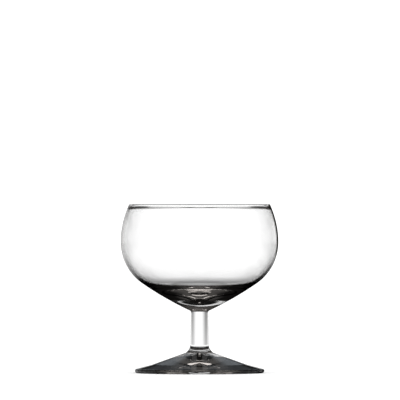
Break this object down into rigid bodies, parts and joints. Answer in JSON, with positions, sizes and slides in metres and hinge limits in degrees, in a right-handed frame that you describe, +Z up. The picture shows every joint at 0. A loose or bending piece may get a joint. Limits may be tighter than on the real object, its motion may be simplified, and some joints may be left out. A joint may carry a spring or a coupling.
{
  "type": "liqueur glass",
  "caption": "Small clear stemmed glass for liqueur: a rounded bowl drawn in to a fire-polished lip, a short flared stem and a shallow conical foot.",
  "frame": {"origin": "on the axis of the glass, in the plane that its foot stands on", "axes": "+Z up along the axis of the glass, through the foot, stem and bowl; X and Y are any two level directions, because the glass is a solid of revolution"},
  "size_m": [0.0654, 0.0652, 0.0698],
  "materials": {
    "clear_glass": "fire-polished, clear and colourless"
  },
  "bodies": {
    "root": {"bowl": "clear_glass", "stem": "clear_glass", "foot": "clear_glass"}
  },
  "joints": []
}
